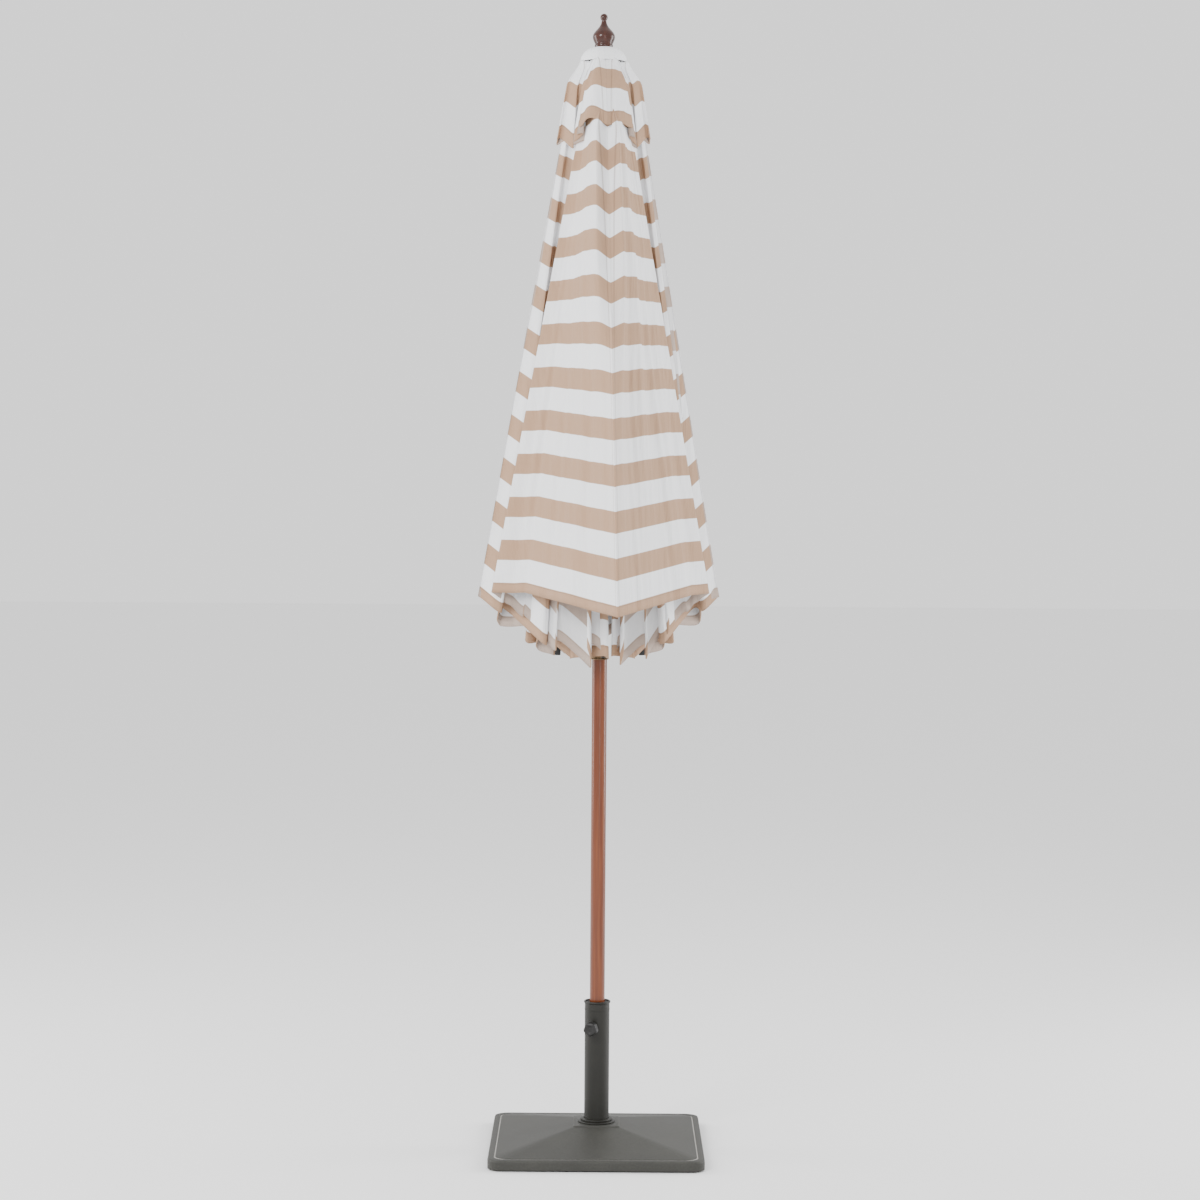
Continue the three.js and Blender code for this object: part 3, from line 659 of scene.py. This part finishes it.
# ---- Poles, ferrule and finial -----------------------------------------------------------
@dataclass
class Pole:
    """The two poles, the ferrule between them and the finial."""

    finishes: Wardrobe
    radius: float = 0.016

    def build(self) -> None:
        """Builds and dresses every turned piece on the pole's axis."""
        self.poles()
        self.ferrule()
        self.finial()

    def poles(self) -> None:
        """Both lengths of pole, eased at their ends."""
        ease = 0.0015
        for node in ("lower_pole", "upper_pole"):
            low, high = node_box(node)
            top = high.z if node == "lower_pole" else high.z - 0.052
            profile = [(0.0, low.z), (self.radius - ease, low.z), (self.radius, low.z + ease),
                       (self.radius, top - ease), (self.radius - ease, top)]
            if node == "upper_pole":
                profile += [(0.004, top), (0.004, high.z), (0.0, high.z)]
            else:
                profile += [(0.0, top)]
            piece = keep(f"{node}_turned", spun(profile), [self.finishes["pole_wood"]])
            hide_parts(node)
            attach(piece, node)

    def ferrule(self) -> None:
        """The ferrule: a plain sleeve with a rolled bead at each end."""
        low, high = node_box("pole_ferrule")
        inner, outer, bead = self.radius + 0.0003, self.radius + 0.0020, 0.0011
        profile = [(inner, low.z)]
        profile += arc((outer, low.z + bead), bead, -90.0, 60.0, 8)
        profile += [(outer, low.z + 0.0040), (outer, high.z - 0.0040)]
        profile += arc((outer, high.z - bead), bead, -60.0, 90.0, 8)
        profile += [(inner, high.z), (inner, low.z)]
        piece = keep("ferrule_sleeve", spun(profile), [self.finishes["bronze"]])
        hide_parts("pole_ferrule")
        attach(piece, "lower_pole")

    def finial(self) -> None:
        """The turned finial: a spreading foot, an onion bulb, a waisted neck and a ball."""
        low, high = node_box("finial")
        tall = high.z - low.z
        bulb, foot, neck, ball = 0.0236, 0.0188, 0.0052, 0.0080
        outline = ((0.00, foot), (0.05, foot + 0.0006), (0.10, foot - 0.0002), (0.14, foot + 0.0010),
                   (0.22, bulb - 0.0012), (0.30, bulb), (0.37, bulb - 0.0008), (0.45, bulb * 0.83),
                   (0.53, bulb * 0.62), (0.60, bulb * 0.44), (0.67, bulb * 0.31), (0.73, neck + 0.0006),
                   (0.775, neck))
        profile = [(0.0046, low.z)]
        for before, here, after, last in zip((outline[0],) + outline, outline, outline[1:],
                                             outline[2:] + (outline[-1],)):
            for step in range(4):
                profile.append(self._curve(before, here, after, last, step / 4.0, low.z, tall))
        centre = high.z - ball
        start = -math.degrees(math.acos(min(1.0, neck / ball)))
        profile += arc((0.0, centre), ball, start, 90.0, 14)[:-1] + [(0.0, high.z)]
        profile += [(0.0, low.z + 0.0215), (0.0046, low.z + 0.0215), (0.0046, low.z)]
        piece = keep("turned_finial", spun(profile, 80), [self.finishes["dark_wood"]], 60.0)
        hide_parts("finial")
        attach(piece, "upper_pole")

    @staticmethod
    def _curve(before: tuple, here: tuple, after: tuple, last: tuple, t: float, low: float,
               tall: float) -> tuple[float, float]:
        """A point of a smooth curve through an outline's points, as (radius, height)."""
        values = []
        for i in (1, 0):
            a, b, c, d = before[i], here[i], after[i], last[i]
            values.append(0.5 * (2 * b + (c - a) * t + (2 * a - 5 * b + 4 * c - d) * t ** 2
                                 + (3 * b - a - 3 * c + d) * t ** 3))
        return values[0], low + tall * values[1]


@dataclass
class Frame:
    """The ribs' tip caps, and finishes for the CAD pieces whose shape is right already."""

    finishes: Wardrobe
    ribs: int = 8

    def build(self) -> None:
        """Builds the caps and dresses the carried-over nodes."""
        for k in range(self.ribs):
            self.tip_cap(k)
        self.dress()

    def tip_cap(self, k: int) -> None:
        """The rounded black cap on a rib's tip, which the canopy's pocket sits on."""
        spoke = Spoke(k)
        mesh = bmesh.new()
        bmesh.ops.create_cube(mesh, size=1.0)
        bmesh.ops.scale(mesh, verts=mesh.verts, vec=(0.0124, 0.0102, 0.024))
        bmesh.ops.bevel(mesh, geom=list(mesh.edges), offset=0.0022, segments=3, profile=0.5, affect="EDGES",
                        material=-1)
        across = spoke.out(Canopy.closed)
        axes = Matrix((across, spoke.round, spoke.down(Canopy.closed) * -1.0)).transposed().to_4x4()
        tip = spoke.point(1.2305, 0.0163, Canopy.closed)
        bmesh.ops.transform(mesh, verts=mesh.verts, matrix=Matrix.Translation(tip) @ axes)
        bmesh.ops.recalc_face_normals(mesh, faces=mesh.faces)
        piece = keep(f"rib_tip_cap_{k}", mesh, [self.finishes["black_plastic"]])
        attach(piece, f"rib_{k}")

    def dress(self) -> None:
        """Gives each shown CAD node the finish of its slot."""
        record = frame["record"]
        for part in record["subparts"]:
            shown = frame["nodes"][part["node"]]
            material = {"canopy_cloth": "canopy_outside"}.get(part["material_slot"], part["material_slot"])
            for slot in shown.material_slots:
                slot.material = self.finishes[material]
            if not shown.material_slots:
                LOG.info("%s has no material slot", part["node"])


# ---- Canopy ------------------------------------------------------------------------------
class Spoke:
    """The upright plane of one rib: its pivot, the way out from the pole and the way round it."""

    def __init__(self, rib: int) -> None:
        """Reads the rib's pivot from the frame."""
        self.pivot = Vector(JOINTS[f"rib_{rib}_pivot"]["pos_m"])
        self.away = Vector((self.pivot.x, self.pivot.y, 0.0)).normalized()
        self.round = UP.cross(self.away)

    def down(self, angle: float) -> Vector:
        """The way down a rib at an angle from the vertical."""
        return self.away * math.sin(angle) - UP * math.cos(angle)

    def out(self, angle: float) -> Vector:
        """The way out from a rib at an angle from the vertical."""
        return self.away * math.cos(angle) + UP * math.sin(angle)

    def point(self, along: float, off: float, angle: float) -> Vector:
        """A point down the rib from its pivot, and out from the line of pivots."""
        return self.pivot + self.down(angle) * along + self.out(angle) * off


@dataclass(frozen=True)
class Fold:
    """Where a gore's middle fold hangs at its hem: degrees from the front rib, radius, height."""

    turn: float
    radius: float
    height: float


@dataclass(frozen=True)
class Lie:
    """How a half gore hangs between its seam and its fold. Lengths are at the hem, in metres.

    Attributes:
        waves: Number of pleats across.
        reach: How far the pleats swing to each side.
        crease: Share across at which a flat crease lies.
        dent: How far that crease lies inward.
        ridge: How far the cloth rolls forward beside the seam, in the upper half.
        spread: How far the gathered pleats stand out from the sheet.
        swirl: 1 or -1, which way the first pleat turns.
        rise: How far the crease lies above the straight hem.
        tilt: How far a pleat climbs for each metre that it swings.
        sag: How far gathered pleats hang below the straight hem.
        gathered: How far to the front the cloth is drawn before its small pleats run back; 0 if it isn't.
        bow: How far the sheet bows inward behind the gathered pleats.
    """

    waves: float = 2.0
    reach: float = 0.05
    crease: float = 0.5
    dent: float = 0.0
    ridge: float = 0.0
    spread: float = 0.0
    swirl: float = 1.0
    rise: float = 0.0
    tilt: float = 0.0
    sag: float = 0.0
    gathered: float = 0.0
    bow: float = 0.0


@dataclass
class Canopy:
    """The striped canopy: sixteen half gores, a vented cap of sixteen more and a crown."""

    finishes: Optional[Wardrobe]
    ribs: int = 8
    seam_off: float = 0.024
    rib_length: float = 1.235
    overrun: float = 0.008
    slack: float = 0.040
    top_share: float = 0.105
    cap_share: float = 0.168
    cap_lift: float = 0.011
    fold_top: float = 0.060
    crown_height: float = 2.335
    columns: int = 72
    rows: int = 84
    closed = math.radians(2.0)
    front_angle = math.radians(17.0)
    opened = math.radians(75.0)
    slope = math.radians(15.0)
    folds = (Fold(86, 0.2325, 1.187), Fold(97, 0.260, 1.178), Fold(125, 0.240, 1.172),
             Fold(160, 0.230, 1.170))
    lies = {
        (0, "a"): Lie(waves=3.0, reach=0.0035, crease=0.84, dent=0.004, ridge=0.026, rise=0.006),
        (0, "b"): Lie(waves=5.5, reach=0.016, spread=0.018, tilt=0.022, sag=0.040, gathered=0.085,
                      bow=0.012),
        (1, "a"): Lie(waves=2.0, reach=0.052, tilt=0.2),
        (1, "b"): Lie(waves=2.0, reach=0.050, swirl=-1.0, tilt=0.2),
        (2, "a"): Lie(waves=2.0, reach=0.052, tilt=0.2),
        (2, "b"): Lie(waves=2.0, reach=0.052, swirl=-1.0, tilt=0.2),
        (3, "a"): Lie(waves=2.0, reach=0.052, tilt=0.2),
        (3, "b"): Lie(waves=2.0, reach=0.050, swirl=-1.0, tilt=0.2),
    }
    left = {
        (7, "b"): Lie(waves=3.0, reach=0.0035, crease=0.80, dent=0.040, ridge=0.032, rise=0.017),
        (7, "a"): Lie(waves=4.5, reach=0.017, spread=0.036, tilt=0.024, sag=0.044, gathered=0.112,
                      bow=0.026),
    }

    def build(self) -> None:
        """Builds the gores, the cap and the crown."""
        for k in range(self.ribs):
            for suffix, rib in (("a", k), ("b", k + 1)):
                self.half_gore(k, suffix, rib % self.ribs)
                self.half_cap(k, suffix, rib % self.ribs)
        self.crown()

    def at(self, turn: float, radius: float, height: float) -> Vector:
        """A point at a turn in degrees from the front rib, a radius and a height."""
        spoke = Spoke(0)
        turn = math.radians(turn)
        return (spoke.away * math.cos(turn) + spoke.round * math.sin(turn)) * radius + UP * height

    def apex_along(self) -> float:
        """Where the open canopy's seams meet the pole's axis, measured down a rib from its pivot."""
        pivot = Spoke(0).pivot
        out = math.hypot(pivot.x, pivot.y) + self.seam_off * math.cos(self.opened)
        return -out / math.sin(self.opened)

    def seam_length(self) -> float:
        """From the apex to the hem along a seam."""
        return self.rib_length + self.overrun - self.apex_along()

    def fold_length(self) -> float:
        """From the apex to the hem down the middle of a gore."""
        half = math.pi / self.ribs
        flat = self.seam_length() * math.cos(self.slope) * math.cos(half)
        return math.hypot(flat, self.seam_length() * math.sin(self.slope))

    def half_hem(self) -> float:
        """Half of a gore's hem."""
        return self.seam_length() * math.cos(self.slope) * math.sin(math.pi / self.ribs)

    def fold(self, k: int, share: float) -> Vector:
        """A point of gore k's fold line, a share of the way down it."""
        mirrored = k >= self.ribs // 2
        hem = self.folds[self.ribs - 1 - k if mirrored else k]
        top = self.at((k + 0.5) * 360.0 / self.ribs, self.fold_top, self.crown_height)
        end = self.at(-hem.turn if mirrored else hem.turn, hem.radius, hem.height)
        return top.lerp(end, share)

    def lie(self, k: int, suffix: str) -> Lie:
        """How a half gore hangs; the left side mirrors the right, except at the front."""
        if (k, suffix) in self.left:
            return self.left[(k, suffix)]
        if k < self.ribs // 2:
            return self.lies[(k, suffix)]
        return self.lies[(self.ribs - 1 - k, "b" if suffix == "a" else "a")]

    def half_gore(self, k: int, suffix: str, rib: int) -> None:
        """One half gore of the main canopy."""
        piece = self._cloth(f"gore_{k}_{suffix}", f"canopy_half_{k}_{suffix}", k, suffix, rib, 0.0,
                            (self.top_share, 1.0), self.lie(k, suffix), ("canopy_outside", "canopy_inside"))
        nodes = [f"gore_{k}_{suffix}"]
        if (k, suffix) == (0, "a"):
            nodes.append("front_seam_tape")
        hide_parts(*nodes)
        width, length = self.half_hem(), self.fold_length()
        area = 0.5 * width * length * (1.0 - self.top_share ** 2)

    def half_cap(self, k: int, suffix: str, rib: int) -> None:
        """One half gore of the vented cap."""
        front = rib == 0
        swirl = self.lie(k, suffix).swirl
        if front:
            shape = Lie(waves=0.5, reach=0.105 if k else 0.06, swirl=swirl, tilt=0.8 if k else 0.3)
        else:
            shape = Lie(waves=1.5, reach=0.095, swirl=swirl, tilt=0.5)
        hem = self.cap_share - (0.016 if front else 0.004 * (k % 3))
        piece = self._cloth(f"gore_{k}_{suffix}", f"cap_half_{k}_{suffix}", k, suffix, rib, self.cap_lift,
                            (0.024, hem), shape, ("cap_outside", "cap_inside"), (28, 36))
        width, length = self.half_hem() * self.cap_share, self.fold_length() * self.cap_share
        0.5 * width * length
        if (k, suffix) == (0, "a"):
            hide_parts("vent_cap")

    def _cloth(self, body: str, name: str, k: int, suffix: str, rib: int, lift: float,
               span: tuple[float, float], lie: Lie, finishes: tuple[str, str],
               grid: Optional[tuple[int, int]] = None) -> bpy.types.Object:
        """A half gore of cloth, in the shape where it hangs closed, with its flat cut pattern as the Cut UV map.

        Args:
            body: The half gore's body.
            name: The piece's name.
            k: The gore.
            suffix: a from rib k, b from the next rib.
            rib: The rib that carries the seam.
            lift: How far the cloth lies outside the main canopy.
            span: Shares of the way down, first and last row.
            lie: How it hangs.
            finishes: Outer and inner finish.
            grid: Columns and rows, if not the canopy's own.

        Returns:
            The piece.
        """
        columns, rows = grid or (self.columns, self.rows)
        front = rib == 0
        spoke = Spoke(rib)
        angle = self.front_angle if front else self.closed
        apex = spoke.point(self.apex_along(), self.seam_off, angle)
        end = self.rib_length + self.overrun - (self.slack if front else 0.0)
        tip = spoke.point(end, self.seam_off, angle)
        slide = JOINTS[f"{body}_spread"]
        travel = slide["range_m"][1]
        way = Vector(slide["axis"]).normalized()
        corner = self.fold(k, 1.0) + way * travel
        chord = self.fold(k, 1.0) - tip
        normal = Vector((chord.y, -chord.x, 0.0)).normalized()
        if normal.dot(self.fold(k, 1.0) + tip) < 0.0:
            normal.negate()
        outward = spoke.out(angle)
        facing = (corner - apex).cross(tip - apex).normalized()
        if facing.dot(outward) < 0.0:
            facing.negate()

        mesh = bmesh.new()
        bmesh.ops.create_grid(mesh, x_segments=columns, y_segments=rows, size=1.0)
        cut = mesh.loops.layers.uv.new("Cut")
        flat: dict[bmesh.types.BMVert, tuple[float, float]] = {}
        for vert in mesh.verts:
            across = (vert.co.x + 1.0) / 2.0
            down = span[0] + (span[1] - span[0]) * (1.0 - (vert.co.y + 1.0) / 2.0)
            hung = apex.lerp(tip, down).lerp(self.fold(k, down), across)
            hung += self._drape(lie, across, down, way, normal, k * 2 + (suffix == "b"))
            if lift:
                hung += (outward.lerp(self.at((k + 0.5) * 45.0, 1.0, 0.0), across)) * lift
                pinch = 0.70 + 0.30 * smooth(down, 0.020, 0.072)
                hung = Vector((hung.x * pinch, hung.y * pinch, hung.z))
            spread = apex + (tip.lerp(corner, across) - apex) * down + facing * lift
            min(1.0, max(0.0, (spread - hung).dot(way) / travel))
            flat[vert] = (self.half_hem() * down * across, self.fold_length() * down)
            vert.co = hung
        short = (self.cap_share - span[1]) * self.fold_length() if lift else 0.0
        for face in mesh.faces:
            for loop in face.loops:
                across_cut, down_cut = flat[loop.vert]
                loop[cut].uv = (across_cut, down_cut + short)
        if suffix == "b":
            bmesh.ops.reverse_faces(mesh, faces=mesh.faces)
        mesh.verts.index_update()
        LOG.info("%s: hung area %.4f m2", name, sum(face.calc_area() for face in mesh.faces))
        bands = [self._band(flat[vert], span[1] * self.fold_length()) for vert in mesh.verts]
        piece = keep(name, mesh, [self.finishes[n] for n in finishes], None)
        f"rib_{rib}" if not front else "front_seam"
        tuple(self.fold(k, 1.0))
        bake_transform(piece)
        group = piece.vertex_groups.new(name="hem")
        for index, value in enumerate(bands):
            group.add([index], value, "REPLACE")
        wall = piece.modifiers.new("cloth thickness", "SOLIDIFY")
        wall.thickness = 0.0022
        wall.offset = -1.0
        wall.vertex_group = "hem"
        wall.thickness_vertex_group = 0.35
        wall.material_offset = 1
        wall.use_rim = True
        return piece

    @staticmethod
    def _band(flat: tuple[float, float], hem_at: float) -> float:
        """1 in the turned-up hem and the seam allowance, 0 in the single cloth."""
        return max(1.0 - smooth(hem_at - flat[1], 0.019, 0.022), 1.0 - smooth(flat[0], 0.009, 0.012))

    @staticmethod
    def _drape(lie: Lie, across: float, down: float, way: Vector, normal: Vector, seed: int) -> Vector:
        """How far the cloth hangs off the flat sheet between seam and fold.

        Args:
            lie: How the half gore hangs.
            across: Share from seam to fold.
            down: Share from crown to hem.
            way: The way that the half gore's body slides.
            normal: Level and square to the sheet, outward.
            seed: Shifts the small folds, so that no two gores match.

        Returns:
            The offset.
        """
        held = math.sin(math.pi * across) ** 0.7
        turn = 2.0 * math.pi * lie.waves * across
        if lie.gathered:
            held = smooth(across, 0.05, 0.12) * (1.0 - smooth(across, 0.52, 0.80))
            drawn = smooth(across, 0.0, 0.07) * (1.0 - smooth(across, 0.12, 0.78))
            offset = way * (lie.gathered * drawn + lie.reach * held * math.sin(turn)) * down
            offset += normal * (lie.spread * drawn + 0.8 * lie.reach * held * math.cos(turn)) * down
            offset -= UP * (lie.sag * hump(across, 0.36, 0.22) + lie.tilt * held * math.sin(turn)) * down
            offset -= normal * lie.bow * hump(across, 0.76, 0.17) * down
        else:
            phase = 0.35 * math.sin(2.3 * down + seed) * (1.0 - down * 0.4)
            swing = lie.reach * lie.swirl * held * math.sin(turn + phase)
            tent = across / lie.crease if across < lie.crease else (1.0 - across) / (1.0 - lie.crease)
            offset = way * (swing - lie.dent * tent) * down
            offset += UP * (lie.rise * tent + lie.tilt * swing) * down
            rolled = smooth(down, 0.08, 0.18) * (1.0 - smooth(down, 0.36, 0.70))
            beside = smooth(across, 0.0, 0.13) * (1.0 - smooth(across, 0.18, 0.90))
            offset += (way + UP * 0.30) * lie.ridge * rolled * beside
        loose = min(1.0, 8.0 * across, 8.0 * (1.0 - across)) * min(1.0, down * 1.5)
        for across_rate, down_rate, depth in ((6.0, 1.9, 0.010), (19.0, 2.6, 0.0045)):
            small = noise.noise(Vector((across * across_rate + seed * 3.1, down * down_rate, seed * 1.7)))
            offset += way * small * depth * loose
        return offset

    def crown(self) -> None:
        """The round crown piece, clamped under the finial and turned down over the cap's top."""
        low, _ = node_box("finial")
        top = low.z - 0.0004
        profile = [(0.0048, top - 0.0014), (0.0048, top), (0.022, top - 0.0004), (0.033, top - 0.0040),
                   (0.0415, top - 0.0110), (0.0470, top - 0.0200), (0.0500, top - 0.0310),
                   (0.0488, top - 0.0312), (0.0458, top - 0.0208), (0.0405, top - 0.0120),
                   (0.0322, top - 0.0054), (0.0216, top - 0.0018), (0.0048, top - 0.0014)]
        mesh = spun(profile)
        cut = mesh.loops.layers.uv.new("Cut")
        for face in mesh.faces:
            for loop in face.loops:
                place = loop.vert.co
                loop[cut].uv = (0.08 + place.x, self.fold_length() * self.cap_share - 0.145)
        piece = keep("crown_disc", mesh, [self.finishes["cap_outside"]], 50.0)
        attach(piece, "upper_pole")


# ---- Studio ------------------------------------------------------------------------------
@dataclass
class Studio:
    """The floor, the lights and the camera."""

    distance: float = 5.8
    height: float = 1.384
    lens: float = 81.96
    tilt: float = math.radians(2.1)
    roll: float = math.radians(0.4)

    def build(self) -> None:
        """Sets the stage."""
        self.floor()
        self.lights()
        self.camera()

    def floor(self) -> None:
        """A wide pale floor."""
        mesh = bmesh.new()
        bmesh.ops.create_grid(mesh, x_segments=1, y_segments=1, size=30.0)
        data = bpy.data.meshes.new("floor")
        mesh.to_mesh(data)
        mesh.free()
        floor = bpy.data.objects.new("floor", data)
        bpy.context.scene.collection.objects.link(floor)
        shader = Shader("floor_paper", 0.9)
        shader.surface.inputs["Base Color"].default_value = (0.93, 0.93, 0.93, 1.0)
        data.materials.append(shader.material)

    def lights(self) -> None:
        """A bright even room, a soft key from the left front, a panel at each side and a narrow strip."""
        world = bpy.data.worlds.new("room")
        bpy.context.scene.world = world
        world.use_nodes = True
        back = world.node_tree.nodes["Background"]
        back.inputs["Color"].default_value = (1.0, 1.0, 1.0, 1.0)
        back.inputs["Strength"].default_value = 1.35
        aim = Vector((0.0, 0.0, 1.3))
        for name, place, size, power in (
            ("key", (-2.6, -3.8, 3.4), (1.6, 1.6), 170.0),
            ("left", (-3.6, 0.6, 1.8), (1.2, 3.0), 90.0),
            ("right", (3.6, 0.6, 1.8), (1.2, 3.0), 120.0),
            ("strip", (0.9, -4.6, 1.5), (0.30, 2.6), 26.0),
        ):
            data = bpy.data.lights.new(name, "AREA")
            data.shape = "RECTANGLE"
            data.size, data.size_y = size
            data.energy = power
            lamp = bpy.data.objects.new(name, data)
            lamp.location = place
            lamp.rotation_euler = (aim - Vector(place)).to_track_quat("-Z", "Y").to_euler()
            bpy.context.scene.collection.objects.link(lamp)

    def camera(self) -> None:
        """The camera, level with the middle of the umbrella."""
        data = bpy.data.cameras.new("camera")
        data.lens = self.lens
        data.sensor_width = 36.0
        camera = bpy.data.objects.new("camera", data)
        camera.location = (0.0, -self.distance, self.height)
        turn = Matrix.Rotation(math.pi / 2.0 - self.tilt, 4, "X") @ Matrix.Rotation(self.roll, 4, "Z")
        camera.rotation_euler = turn.to_euler()
        bpy.context.scene.collection.objects.link(camera)
        bpy.context.scene.camera = camera


def main() -> None:
    """Builds the umbrella piece by piece."""
    plan = Canopy(finishes=None)
    finishes = Wardrobe(plan.fold_length(), plan.fold_length() * plan.cap_share)
    Studio().build()
    Base(finishes).build()
    Pole(finishes).build()
    Frame(finishes).build()
    Canopy(finishes).build()


if __name__ == "__main__":
    main()
